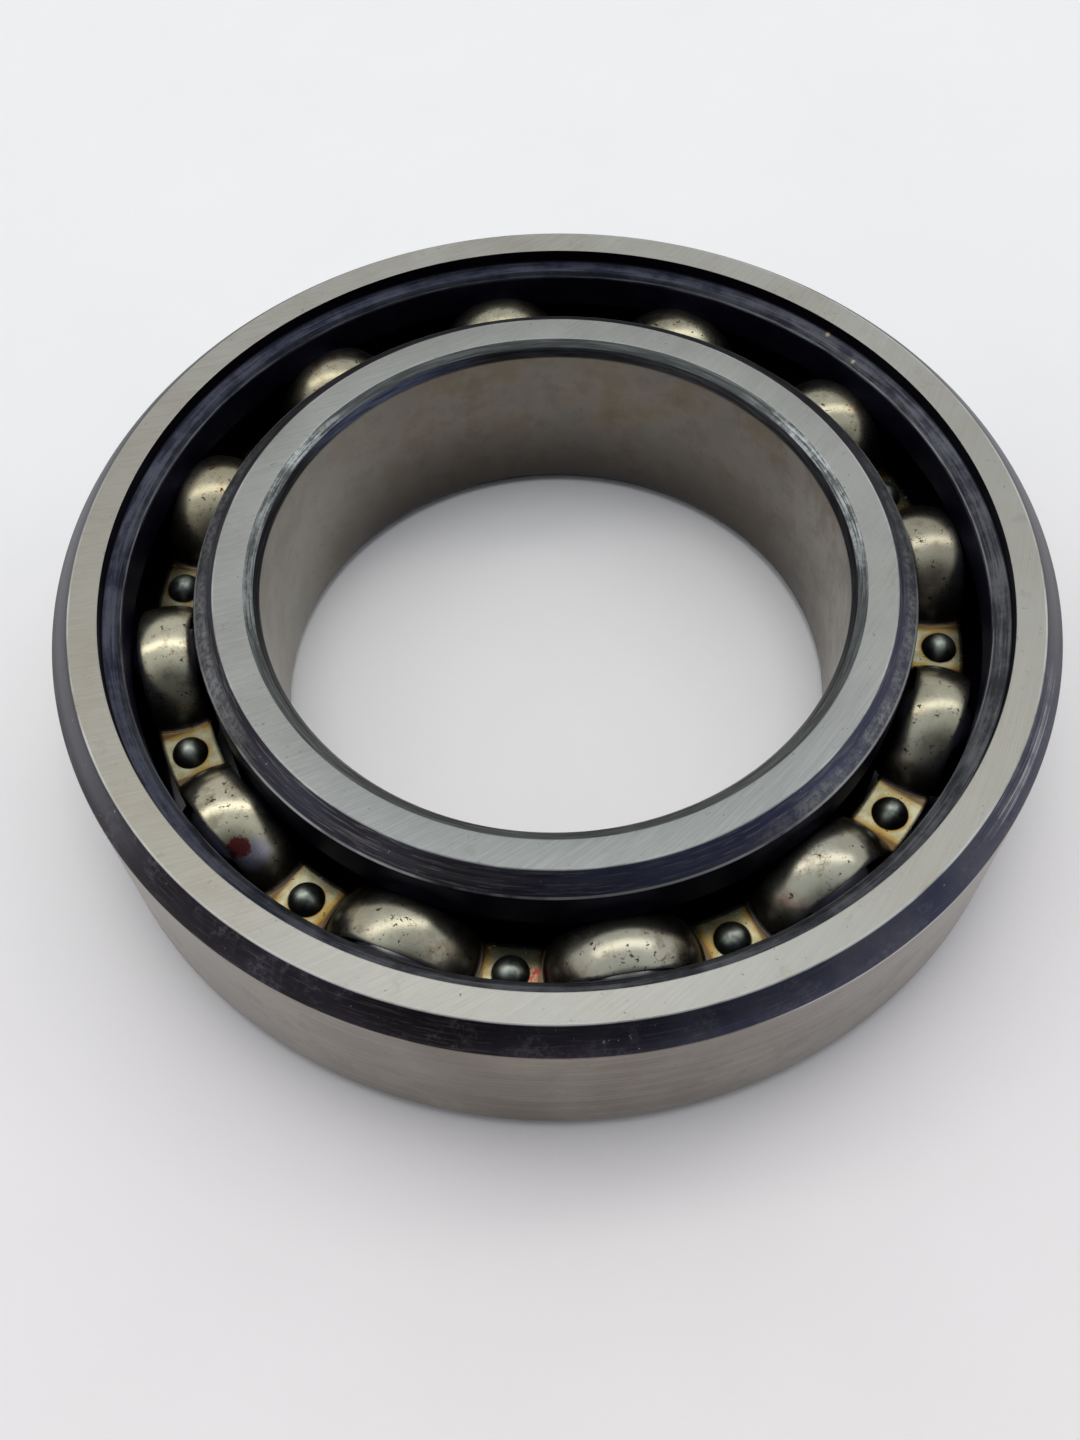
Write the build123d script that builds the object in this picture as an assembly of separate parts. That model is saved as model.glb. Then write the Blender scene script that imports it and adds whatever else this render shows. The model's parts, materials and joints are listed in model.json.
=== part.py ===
from build123d import *
import os
from math import cos, radians, sin, sqrt

# Open single-row deep-groove ball bearing, 40 x 68 x 15 mm, with a riveted sheet-steel cage.
# The origin is the bearing's centre and +Z is the axis that it turns about.
# All lengths are in millimetres.

# Boundary dimensions
BORE_RADIUS = 20.0
OUTSIDE_RADIUS = 34.0
WIDTH = 15.0
HALF_WIDTH = WIDTH / 2

# Balls: twelve 5/16 inch balls, evenly spaced, the first one on +X
BALL_COUNT = 12
BALL_RADIUS = 3.969
PITCH_RADIUS = 27.0
BALL_STEP = 360 / BALL_COUNT

# Grooves: a little wider than the balls, which run with this gap to the bottom of each groove
GROOVE_RADIUS = 1.035 * BALL_RADIUS
GROOVE_GAP = 0.02

# Outer ring, by radius and by depth below its side face
OUTER_CHAMFER_RADIAL = 1.45
OUTER_CHAMFER_AXIAL = 1.55
OUTER_CHAMFER_BULGE = 0.12
RECESS_RADIUS = 30.6
RECESS_DEPTH = 1.1
RECESS_CORNER = 0.12
LEDGE_INNER_RADIUS = 29.8
LEDGE_INNER_DEPTH = 1.3
OUTER_SHOULDER_RADIUS = 29.4
OUTER_SHOULDER_DEPTH = 1.6

# Inner ring, by radius and by depth below its side face
BORE_CHAMFER_RADIAL = 1.0
BORE_CHAMFER_AXIAL = 1.0
BORE_CHAMFER_KNEE = 0.35
INNER_FACE_RADIUS = 23.0
CONE_END_RADIUS = 24.4
CONE_END_DEPTH = 1.0
INNER_SHOULDER_RADIUS = 24.5
INNER_SHOULDER_DEPTH = 1.1

# Cage: two pressed halves that meet on the middle plane
SHEET = 0.9
CAGE_INNER_RADIUS = 25.1
CAGE_OUTER_RADIUS = 28.65
POCKET_GAP = 0.15
POCKET_BEND = 0.4

# Rivets: one in each land, half a ball step from the balls
RIVET_SHANK_RADIUS = 0.7
RIVET_HOLE_RADIUS = 0.73
RIVET_HEAD_RADIUS = 1.2
RIVET_HEAD_HEIGHT = 0.95


def on_circle(radius, angle):
    """A place on a circle about the axis, at an angle in degrees from +X."""
    return Pos(radius * cos(radians(angle)), radius * sin(radians(angle)), 0)


def turned_ring(upper_outline, seat_radius, groove_bottom):
    """Revolves a ring that is the same above and below its middle plane.

    The upper outline runs from the end of the seat's chamfer to the edge of the ball groove.
    """
    seat_end = upper_outline[0] @ 0
    groove_edge = upper_outline[-1] @ 1
    lower_outline = [mirror(edge, about=Plane.XY) for edge in upper_outline]
    seat = Line(seat_end, (seat_radius, 0, -seat_end.Z))
    groove = ThreePointArc(groove_edge, (groove_bottom, 0, 0), (groove_edge.X, 0, -groove_edge.Z))
    section = make_face(Curve() + [seat, groove, *upper_outline, *lower_outline])
    return revolve(section, axis=Axis.Z, revolution_arc=360)


def chain(points):
    """Straight edges through (radius, height) points of a ring's section."""
    return [Line((r0, 0, z0), (r1, 0, z1)) for (r0, z0), (r1, z1) in zip(points, points[1:])]


def groove_half_width(groove_bottom, shoulder_radius):
    """Half the width of a ball groove where it runs out on a shoulder."""
    depth = abs(groove_bottom - shoulder_radius)
    return sqrt(GROOVE_RADIUS**2 - (GROOVE_RADIUS - depth) ** 2)


def make_outer_ring():
    """Outer race: rounded outside corners, a shallow recess in each side and a ledge to the shoulder."""
    groove_bottom = PITCH_RADIUS + BALL_RADIUS + GROOVE_GAP
    seat_corner = (OUTSIDE_RADIUS, HALF_WIDTH - OUTER_CHAMFER_AXIAL)
    face_corner = (OUTSIDE_RADIUS - OUTER_CHAMFER_RADIAL, HALF_WIDTH)
    middle_r = (seat_corner[0] + face_corner[0]) / 2 + OUTER_CHAMFER_BULGE * sqrt(0.5)
    middle_z = (seat_corner[1] + face_corner[1]) / 2 + OUTER_CHAMFER_BULGE * sqrt(0.5)
    chamfer = ThreePointArc(
        (seat_corner[0], 0, seat_corner[1]),
        (middle_r, 0, middle_z),
        (face_corner[0], 0, face_corner[1]),
    )
    half_groove = groove_half_width(groove_bottom, OUTER_SHOULDER_RADIUS)
    inside = chain(
        [
            face_corner,
            (RECESS_RADIUS, HALF_WIDTH),
            (RECESS_RADIUS, HALF_WIDTH - RECESS_DEPTH + RECESS_CORNER),
            (RECESS_RADIUS - RECESS_CORNER, HALF_WIDTH - RECESS_DEPTH),
            (LEDGE_INNER_RADIUS, HALF_WIDTH - LEDGE_INNER_DEPTH),
            (OUTER_SHOULDER_RADIUS, HALF_WIDTH - OUTER_SHOULDER_DEPTH),
            (OUTER_SHOULDER_RADIUS, half_groove),
        ]
    )
    return turned_ring([chamfer, *inside], OUTSIDE_RADIUS, groove_bottom)


def make_inner_ring():
    """Inner race: two-step bore chamfers, narrow side faces and a turned cone up to each shoulder."""
    groove_bottom = PITCH_RADIUS - BALL_RADIUS - GROOVE_GAP
    half_groove = groove_half_width(groove_bottom, INNER_SHOULDER_RADIUS)
    outline = chain(
        [
            (BORE_RADIUS, HALF_WIDTH - BORE_CHAMFER_AXIAL),
            (BORE_RADIUS + BORE_CHAMFER_KNEE, HALF_WIDTH - BORE_CHAMFER_KNEE),
            (BORE_RADIUS + BORE_CHAMFER_RADIAL, HALF_WIDTH),
            (INNER_FACE_RADIUS, HALF_WIDTH),
            (CONE_END_RADIUS, HALF_WIDTH - CONE_END_DEPTH),
            (INNER_SHOULDER_RADIUS, HALF_WIDTH - INNER_SHOULDER_DEPTH),
            (INNER_SHOULDER_RADIUS, half_groove),
        ]
    )
    return turned_ring(outline, BORE_RADIUS, groove_bottom)


def make_pocket():
    """One pocket of the cage: a spherical dome over a ball, with a bent foot that ends flat."""
    inside = BALL_RADIUS + POCKET_GAP
    outside = inside + SHEET
    bend_centre_z = SHEET + POCKET_BEND
    bend_centre_r = sqrt((outside + POCKET_BEND) ** 2 - bend_centre_z**2)
    bend_distance = outside + POCKET_BEND
    bend_centre = Vector(bend_centre_r, 0, bend_centre_z)
    outer_tangent = bend_centre * (outside / bend_distance)
    inner_tangent = bend_centre * (inside / bend_distance)

    def between(radius, start, end, centre=Vector(0, 0, 0)):
        """Arc about a centre, through the direction halfway between its two ends."""
        towards = ((start - centre).normalized() + (end - centre).normalized()).normalized()
        return ThreePointArc(start, centre + towards * radius, end)

    outer_foot = Vector(bend_centre_r, 0, SHEET)
    inner_foot = Vector(bend_centre_r, 0, 0)
    outer_top = Vector(0, 0, outside)
    inner_top = Vector(0, 0, inside)
    section = make_face(
        Curve()
        + [
            between(outside, outer_top, outer_tangent),
            between(POCKET_BEND, outer_tangent, outer_foot, bend_centre),
            Line(outer_foot, inner_foot),
            between(POCKET_BEND + SHEET, inner_foot, inner_tangent, bend_centre),
            between(inside, inner_tangent, inner_top),
            Line(inner_top, outer_top),
        ]
    )
    dome = revolve(section, axis=Axis.Z, revolution_arc=360)
    return dome, bend_centre_r


def make_cage_half():
    """Upper half of the cage: a flat strip with twelve pressed pockets and twelve rivet holes."""
    dome, dome_radius = make_pocket()
    tall = 2 * WIDTH
    band = Cylinder(CAGE_OUTER_RADIUS, tall) - Cylinder(CAGE_INNER_RADIUS, tall)
    lowest = (Align.CENTER, Align.CENTER, Align.MIN)
    strip = Cylinder(CAGE_OUTER_RADIUS, SHEET, align=lowest) - Cylinder(CAGE_INNER_RADIUS, SHEET, align=lowest)
    for number in range(BALL_COUNT):
        strip -= on_circle(PITCH_RADIUS, number * BALL_STEP) * Cylinder(dome_radius, tall)
    domes = []
    for number in range(BALL_COUNT):
        domes.append((on_circle(PITCH_RADIUS, number * BALL_STEP) * dome) & band)
    half = strip.fuse(*domes).clean()
    for number in range(BALL_COUNT):
        hole_place = on_circle(PITCH_RADIUS, (number + 0.5) * BALL_STEP)
        half -= hole_place * Cylinder(RIVET_HOLE_RADIUS, tall)
    return half


def make_rivet():
    """Rivet at the origin: a shank through both sheets with a round head on each side."""
    head_top = Vector(0, 0, SHEET + RIVET_HEAD_HEIGHT)
    head_rim = Vector(RIVET_HEAD_RADIUS, 0, SHEET)
    dome_radius = (RIVET_HEAD_RADIUS**2 + RIVET_HEAD_HEIGHT**2) / (2 * RIVET_HEAD_HEIGHT)
    dome_centre = Vector(0, 0, SHEET + RIVET_HEAD_HEIGHT - dome_radius)
    towards = ((head_top - dome_centre).normalized() + (head_rim - dome_centre).normalized()).normalized()
    dome = ThreePointArc(head_top, dome_centre + towards * dome_radius, head_rim)
    underside = Line(head_rim, (RIVET_SHANK_RADIUS, 0, SHEET))
    shank = Line((RIVET_SHANK_RADIUS, 0, SHEET), (RIVET_SHANK_RADIUS, 0, -SHEET))
    axis_line = Line(head_top, (0, 0, -head_top.Z))
    lower = [mirror(edge, about=Plane.XY) for edge in (dome, underside)]
    section = make_face(Curve() + [dome, underside, shank, axis_line, *lower])
    return revolve(section, axis=Axis.Z, revolution_arc=360)


def write(node, shape):
    """Writes one node's solid to its own STEP file."""
    export_step(shape, f"parts/{node}.step")


os.makedirs("parts", exist_ok=True)
write("outer_ring", make_outer_ring())
write("inner_ring", make_inner_ring())
cage_half = make_cage_half()
write("cage_upper", cage_half)
write("cage_lower", mirror(cage_half, about=Plane.XY))
rivet = make_rivet()
for number in range(BALL_COUNT):
    write(f"ball_{number + 1:02d}", on_circle(PITCH_RADIUS, number * BALL_STEP) * Sphere(BALL_RADIUS))
    write(f"rivet_{number + 1:02d}", on_circle(PITCH_RADIUS, (number + 0.5) * BALL_STEP) * rivet)
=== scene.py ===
import json
import math

import bpy
from mathutils import Matrix, Vector


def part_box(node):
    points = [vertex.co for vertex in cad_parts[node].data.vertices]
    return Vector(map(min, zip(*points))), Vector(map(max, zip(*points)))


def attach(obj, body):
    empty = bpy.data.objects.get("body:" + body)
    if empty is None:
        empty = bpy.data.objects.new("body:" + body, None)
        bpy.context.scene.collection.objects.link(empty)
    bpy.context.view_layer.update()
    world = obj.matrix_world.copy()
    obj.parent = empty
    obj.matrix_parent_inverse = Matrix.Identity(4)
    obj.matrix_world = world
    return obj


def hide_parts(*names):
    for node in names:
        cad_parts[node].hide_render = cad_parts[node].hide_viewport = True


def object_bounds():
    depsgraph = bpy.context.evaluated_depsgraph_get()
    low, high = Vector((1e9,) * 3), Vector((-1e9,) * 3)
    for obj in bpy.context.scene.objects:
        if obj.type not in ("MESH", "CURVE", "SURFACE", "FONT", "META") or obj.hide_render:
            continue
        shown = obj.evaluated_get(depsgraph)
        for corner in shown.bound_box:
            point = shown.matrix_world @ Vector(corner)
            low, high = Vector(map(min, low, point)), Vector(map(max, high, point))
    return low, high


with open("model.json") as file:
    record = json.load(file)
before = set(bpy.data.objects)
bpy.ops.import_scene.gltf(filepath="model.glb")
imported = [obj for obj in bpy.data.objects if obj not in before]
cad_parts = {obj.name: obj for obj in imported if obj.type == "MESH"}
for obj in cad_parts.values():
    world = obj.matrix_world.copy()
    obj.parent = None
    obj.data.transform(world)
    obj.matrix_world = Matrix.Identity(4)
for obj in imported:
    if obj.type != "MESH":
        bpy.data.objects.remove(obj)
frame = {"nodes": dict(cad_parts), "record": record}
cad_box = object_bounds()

# ---------------------------------------------------------------------------------------------
# Studio: the bearing lies flat on a pale board. One long soft lamp hangs above and behind it,
# the room is bright all round except in front, where somebody stands and looks down at it.
# ---------------------------------------------------------------------------------------------
MM = 0.001
BOARD_SIZE = 6.0
BOARD_NEAR = -0.06
BOARD_FAR = 0.05
# Painted shade: the near tones are darker than the far ones.
BOARD_NEAR_SHADED_TONES = ((0.775, 0.735, 0.755), (0.82, 0.79, 0.805))
BOARD_FAR_TONES = ((0.80, 0.80, 0.82), (0.84, 0.84, 0.855))
FIBRE_HEIGHT = 0.03 * MM
LAMP_LENGTH = 2.6
LAMP_WIDTH = 0.34
LAMP_DISTANCE = 1.5
LAMP_TILT = math.radians(22)
LAMP_POWER = 6.0
LAMP_COLOUR = (1.0, 0.97, 0.90)
FILL_SIZE = 0.8
FILL_POWER = 6.2
SKY = 0.83
SKY_TONES = ((1.0, 0.98, 0.96), (0.92, 0.97, 1.0))
SHADE = 0.15
SHADE_HEIGHT = math.radians(34)
SHADE_CORE = math.radians(21)
SHADE_EDGE = math.radians(58)
CAMERA_TURN = math.radians(-7.4)
CAMERA_ELEVATION = math.radians(58.44)
CAMERA_ROLL = math.radians(-1.71)
CAMERA_DISTANCE = 91.6 * MM
CAMERA_AIM = Vector((-1.29, -12.55, 7.5)) * MM
CAMERA_LENS = 36.4
CAMERA_NEAREST = 0.005


class Socket:
    """A value in a material: sums, products and powers of it add Math nodes."""

    def __init__(self, tree, output=None):
        self.tree = tree
        self.output = output

    def node(self, kind, settings=None, inputs=None, output=0):
        """Adds a node: its settings first, then the values or links of its inputs."""
        added = self.tree.nodes.new(kind)
        for key, value in (settings or {}).items():
            setattr(added, key, value)
        for key, value in (inputs or {}).items():
            if isinstance(value, Socket):
                self.tree.links.new(value.output, added.inputs[key])
            else:
                added.inputs[key].default_value = value
        return Socket(self.tree, added.outputs[output])

    def of(self, operation, *others):
        """A Math node on this value and up to two others."""
        values = dict(enumerate((self, *others)))
        return self.node("ShaderNodeMath", {"operation": operation}, values)

    def __add__(self, other):
        return self.of("ADD", other)

    def __sub__(self, other):
        return self.of("SUBTRACT", other)

    def __rsub__(self, other):
        return self.of("MULTIPLY_ADD", -1.0, other)

    def __mul__(self, other):
        return self.of("MULTIPLY", other)

    def __pow__(self, other):
        return self.of("POWER", other)

    def __abs__(self):
        return self.of("ABSOLUTE")

    __radd__ = __add__
    __rmul__ = __mul__

    def step(self, start, end):
        """0 up to start, 1 from end on, with a smooth rise between them."""
        inputs = {"Value": self, "From Min": start, "From Max": end, "To Min": 0.0, "To Max": 1.0}
        return self.node("ShaderNodeMapRange", {"interpolation_type": "SMOOTHSTEP"}, inputs)

    def band(self, start, end, blur):
        """1 between start and end, fading to 0 over blur on either side."""
        return self.step(start - blur, start + blur) * (1 - self.step(end - blur, end + blur))

    def blend(self, colour_a, colour_b):
        """colour_a where this is 0, colour_b where it is 1."""
        inputs = {0: self, 6: colour_a, 7: colour_b}
        for key in (6, 7):
            if not isinstance(inputs[key], Socket):
                inputs[key] = (*inputs[key], 1.0)
        return self.node("ShaderNodeMix", {"data_type": "RGBA"}, inputs, 2)

    def link(self, surface, name):
        """Feeds an input of a surface."""
        self.tree.links.new(self.output, surface.inputs[name])


def noise(paint, place, scale, detail, roughness):
    """Soft random patches over a place."""
    inputs = {"Vector": place, "Scale": scale, "Detail": detail, "Roughness": roughness}
    return paint.node("ShaderNodeTexNoise", None, inputs, "Fac")


def split(paint, place):
    """The three numbers of a place."""
    outputs = paint.node("ShaderNodeSeparateXYZ", None, {0: place}).output.node.outputs
    return [Socket(paint.tree, output) for output in outputs]


board_material = bpy.data.materials.new("pale_board")
board_material.use_nodes = True
paint = Socket(board_material.node_tree)
skin = board_material.node_tree.nodes["Principled BSDF"]
place = paint.node("ShaderNodeTexCoord", None, None, "Object")
# Painted shade: the board is coloured darker and pinker towards the front, as if lit from behind.
fore_and_aft = split(paint, place)[1].step(BOARD_NEAR, BOARD_FAR)
mottle = noise(paint, place, 60.0, 5.0, 0.6)
fibre = noise(paint, place, 1500.0, 4.0, 0.6)
near_tone = mottle.blend(*BOARD_NEAR_SHADED_TONES)
far_tone = mottle.blend(*BOARD_FAR_TONES)
fore_and_aft.blend(near_tone, far_tone).link(skin, "Base Color")
fibre_relief = {"Height": fibre, "Distance": FIBRE_HEIGHT, "Strength": 0.6}
paint.node("ShaderNodeBump", None, fibre_relief).link(skin, "Normal")
skin.inputs["Roughness"].default_value = 0.8
skin.inputs["Specular IOR Level"].default_value = 0.2

bpy.ops.object.select_all(action="DESELECT")
bpy.ops.mesh.primitive_plane_add(size=BOARD_SIZE, location=(0, 0, cad_box[0].z))
board = bpy.context.object
board.name = "board"
board.data.materials.append(board_material)

room = bpy.data.worlds.new("room")
bpy.context.scene.world = room
room.use_nodes = True
sky = Socket(room.node_tree)
direction = sky.node("ShaderNodeTexCoord", None, None, "Generated")
front = (0.0, -math.cos(SHADE_HEIGHT), math.sin(SHADE_HEIGHT))
both = {0: direction, 1: front}
facing = sky.node("ShaderNodeVectorMath", {"operation": "DOT_PRODUCT"}, both, "Value")
shade = facing.step(math.cos(SHADE_EDGE), math.cos(SHADE_CORE))
height = split(sky, direction)[2]
background = room.node_tree.nodes["Background"]
height.step(0.0, 0.9).blend(*SKY_TONES).link(background, "Color")
(SKY * (1 - (1 - SHADE) * shade)).link(background, "Strength")

bpy.ops.object.light_add(type="AREA")
lamp = bpy.context.object
lamp.name = "long_lamp"
lamp.data.shape = "RECTANGLE"
lamp.data.size = LAMP_LENGTH
lamp.data.size_y = LAMP_WIDTH
lamp.data.energy = LAMP_POWER
lamp.data.color = LAMP_COLOUR
lamp.location = (0, LAMP_DISTANCE * math.sin(LAMP_TILT), LAMP_DISTANCE * math.cos(LAMP_TILT))
lamp.rotation_euler = (-LAMP_TILT, 0, 0)

bpy.ops.object.light_add(type="AREA", location=(0, 0, LAMP_DISTANCE))
fill = bpy.context.object
fill.name = "fill_lamp"
fill.data.size = FILL_SIZE
fill.data.energy = FILL_POWER
fill.visible_glossy = False

camera_data = bpy.data.cameras.new("camera")
camera_data.lens = CAMERA_LENS
camera_data.clip_start = CAMERA_NEAREST
camera = bpy.data.objects.new("camera", camera_data)
bpy.context.scene.collection.objects.link(camera)
bpy.context.scene.camera = camera
swing = Matrix.Rotation(CAMERA_TURN, 4, "Z")
tilt = Matrix.Rotation(math.pi / 2 - CAMERA_ELEVATION, 4, "X")
level = Matrix.Rotation(CAMERA_ROLL, 4, "Z")
back_off = Matrix.Translation((0, 0, CAMERA_DISTANCE))
camera.matrix_world = swing @ Matrix.Translation(CAMERA_AIM) @ tilt @ back_off @ level
bpy.context.scene.view_settings.view_transform = "Standard"

# ---------------------------------------------------------------------------------------------
# Outer ring: turned from bearing steel, hardened, then ground on its sides and outside. The
# corner chamfers, the recess in each side and the ledge inside it keep their blue-black skin.
# ---------------------------------------------------------------------------------------------
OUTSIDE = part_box("outer_ring")[1].x
HALF_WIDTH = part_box("outer_ring")[1].z
BALL = (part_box("ball_01")[1].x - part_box("ball_01")[0].x) / 2
PITCH = (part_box("ball_01")[1].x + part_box("ball_01")[0].x) / 2
GROOVE = 1.035 * BALL
GROOVE_GAP = 0.02 * MM
GROOVE_POINTS = 13
CHAMFER_RADIAL = 1.45 * MM
CHAMFER_AXIAL = 1.55 * MM
CHAMFER_BULGE = 0.12 * MM
CHAMFER_STEPS = 6
RECESS = 30.6 * MM
RECESS_CORNER = 0.12 * MM
LEDGE_TOP = HALF_WIDTH - 1.1 * MM
LEDGE_INNER = 29.8 * MM
LEDGE_LOW = HALF_WIDTH - 1.3 * MM
OUTER_SHOULDER = 29.4 * MM
SHOULDER_DEPTH = 1.6 * MM
EDGE = 0.055 * MM
EDGE_TURN = math.radians(18)
RING_STEPS = 360
SMOOTH_TURN = math.radians(40)
ALMOST = 0.001 * MM


def edit(piece):
    """Goes into edit mode on one piece, with nothing else selected."""
    if bpy.context.object and bpy.context.object.mode == "EDIT":
        bpy.ops.object.mode_set(mode="OBJECT")
    bpy.ops.object.select_all(action="DESELECT")
    piece.select_set(True)
    bpy.context.view_layer.objects.active = piece
    bpy.ops.object.mode_set(mode="EDIT")


def apply_modifier(piece, kind, **settings):
    """Puts a modifier on a piece and applies it."""
    bpy.ops.object.select_all(action="DESELECT")
    piece.select_set(True)
    bpy.context.view_layer.objects.active = piece
    modifier = piece.modifiers.new(kind.lower(), kind)
    for key, value in settings.items():
        setattr(modifier, key, value)
    bpy.ops.object.modifier_apply(modifier=modifier.name)


def break_edges(piece, width, turn):
    """Takes the sharpness off the edges that turn by more than an angle."""
    limits = {"limit_method": "ANGLE", "angle_limit": turn}
    apply_modifier(piece, "BEVEL", width=width, segments=2, **limits)
    bpy.ops.object.shade_smooth_by_angle(angle=SMOOTH_TURN)


def draw_section(name, outline, closed):
    """Draws (radius, height) points as an edge chain in the XZ plane, by extruding one point."""
    bpy.ops.object.select_all(action="DESELECT")
    (radius, height), *rest = outline
    bpy.ops.mesh.primitive_plane_add(size=MM, location=(0, 0, 0))
    piece = bpy.context.object
    piece.name = name
    bpy.ops.object.mode_set(mode="EDIT")
    bpy.ops.mesh.merge(type="CENTER")
    bpy.ops.transform.translate(value=(radius, 0, height))
    for next_radius, next_height in rest:
        step = (next_radius - radius, 0, next_height - height)
        bpy.ops.mesh.extrude_region_move(TRANSFORM_OT_translate={"value": step})
        radius, height = next_radius, next_height
    if closed:
        bpy.ops.mesh.select_all(action="DESELECT")
        bpy.ops.mesh.select_mode(type="VERT")
        bpy.ops.object.mode_set(mode="OBJECT")
        for vertex in piece.data.vertices:
            vertex.select = vertex.index in (0, len(outline) - 1)
        bpy.ops.object.mode_set(mode="EDIT")
        bpy.ops.mesh.edge_face_add()
    return piece


def lathe(name, outline, steps=RING_STEPS, closed=True):
    """Turns a ring or a knob from its outline and leaves it smooth, with its faces outwards."""
    piece = draw_section(name, outline, closed)
    bpy.ops.mesh.select_all(action="SELECT")
    bpy.ops.mesh.spin(steps=steps, angle=2 * math.pi, center=(0, 0, 0), axis=(0, 0, 1))
    bpy.ops.mesh.select_all(action="SELECT")
    bpy.ops.mesh.remove_doubles(threshold=ALMOST)
    bpy.ops.mesh.normals_make_consistent(inside=False)
    bpy.ops.object.mode_set(mode="OBJECT")
    bpy.ops.object.shade_smooth_by_angle(angle=math.radians(30))
    return piece


def arc(centre, radius, start, end, points):
    """Points on an arc, by angle in degrees from the +radius direction."""
    angles = [math.radians(start + (end - start) * i / (points - 1)) for i in range(points)]
    return [(centre[0] + radius * math.cos(a), centre[1] + radius * math.sin(a)) for a in angles]


def both_sides(upper):
    """An outline's upper half followed by its mirror image below the middle plane."""
    return upper + [(r, -z) for r, z in reversed(upper)]


def groove_arc(bottom, shoulder, inward, points=GROOVE_POINTS):
    """Upper half of a ball groove, from its shoulder down to just short of the middle plane."""
    centre = bottom - GROOVE if inward else bottom + GROOVE
    run_out = math.degrees(math.acos(abs(shoulder - centre) / GROOVE))
    if inward:
        return arc((centre, 0), GROOVE, run_out, run_out / (2 * points), points)
    return arc((centre, 0), GROOVE, 180 - run_out, 180 - run_out / (2 * points), points)


chamfer = []
for i in range(CHAMFER_STEPS + 1):
    share = i / CHAMFER_STEPS
    bulge = CHAMFER_BULGE * 4 * share * (1 - share) * math.sqrt(0.5)
    across = OUTSIDE - CHAMFER_RADIAL * share + bulge
    up = HALF_WIDTH - CHAMFER_AXIAL * (1 - share) + bulge
    chamfer.append((across, up))
outer_outline = both_sides(
    groove_arc(PITCH + BALL + GROOVE_GAP, OUTER_SHOULDER, True)[::-1]
    + [
        (OUTER_SHOULDER, HALF_WIDTH - SHOULDER_DEPTH),
        (LEDGE_INNER, LEDGE_LOW),
        (RECESS - RECESS_CORNER, LEDGE_TOP),
        (RECESS, LEDGE_TOP + RECESS_CORNER),
        (RECESS, HALF_WIDTH),
    ]
    + chamfer[::-1]
)
outer_ring = lathe("outer_ring_body", outer_outline)
break_edges(outer_ring, EDGE, EDGE_TURN)

CLOUDS = (5.0, 0.6)
BLOTS = (420.0, 5.0, 0.65)
GRIT = (2600.0, 3.0, 0.7)
FINE_LINES = 5200.0
WHEEL_TURN = math.radians(7.4)
WHEEL_RADIUS = 80 * MM
WHEEL_CENTRE = -45 * MM
WHEEL_RUN = 0.05
BLACK_AND_WHITE = ((0, 0, 0), (1, 1, 1))
GRINDING_DEPTH = 0.0045 * MM


def start_steel(name):
    """A material with a bare metal surface, and the place on the piece in its own frame."""
    material = bpy.data.materials.new(name)
    material.use_nodes = True
    surface = material.node_tree.nodes["Principled BSDF"]
    surface.inputs["Metallic"].default_value = 1.0
    metal = Socket(material.node_tree)
    position = metal.node("ShaderNodeTexCoord", None, None, "Object")
    return material, surface, metal, position


def round_the_axis(metal, position):
    """Distance from the axis, angle round it, and height above the middle plane."""
    x, y, z = split(metal, position)
    return (x * x + y * y) ** 0.5, y.of("ARCTAN2", x), z


def facing_to(angle, turn, core, edge):
    """1 within core degrees of a direction round the axis, 0 beyond edge degrees of it."""
    swing = (angle - math.radians(turn)).of("COSINE")
    return swing.step(math.cos(math.radians(edge)), math.cos(math.radians(core)))


def near_place(metal, position, place, core, edge):
    """1 within core of a place on the piece, given in mm, and 0 beyond edge of it."""
    inputs = {0: position, 1: Vector(place) * MM}
    away = metal.node("ShaderNodeVectorMath", {"operation": "DISTANCE"}, inputs, "Value")
    return 1 - away.step(core, edge)


def near_edge(radius, depth, edge_radius, edge_depth, reach):
    """1 on a circular edge of a ring, 0 beyond reach of it."""
    aside = radius - edge_radius
    below = depth - edge_depth
    return 1 - ((aside * aside + below * below) ** 0.5).step(0.35 * reach, reach)


def vector(metal, x, y, z):
    """A place made of three numbers."""
    return metal.node("ShaderNodeCombineXYZ", None, {0: x, 1: y, 2: z})


def wheel_marks(metal, position, scale):
    """Arcs left across a side face by the rim of a big grinding wheel."""
    inputs = {"Vector": position, "Angle": WHEEL_TURN}
    turned = metal.node("ShaderNodeVectorRotate", {"rotation_type": "Z_AXIS"}, inputs)
    x, y, z = split(metal, turned)
    run = x - WHEEL_CENTRE
    arc_height = y + (WHEEL_RADIUS**2 - run * run) ** 0.5
    return noise(metal, vector(metal, arc_height, x * WHEEL_RUN, z), scale, 6.0, 0.75)


def turned_lines(metal, angle, across, scale, drift):
    """Fine lines that run round the ring; across is the place on its section."""
    place = vector(metal, angle.of("COSINE") * drift, angle.of("SINE") * drift, across)
    return noise(metal, place, scale, 4.0, 0.65)


def relief(metal, surface, height, depth):
    """Fine dents and ridges, too small to model."""
    inputs = {"Height": height, "Distance": depth, "Strength": 1.0}
    metal.node("ShaderNodeBump", None, inputs).link(surface, "Normal")


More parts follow.
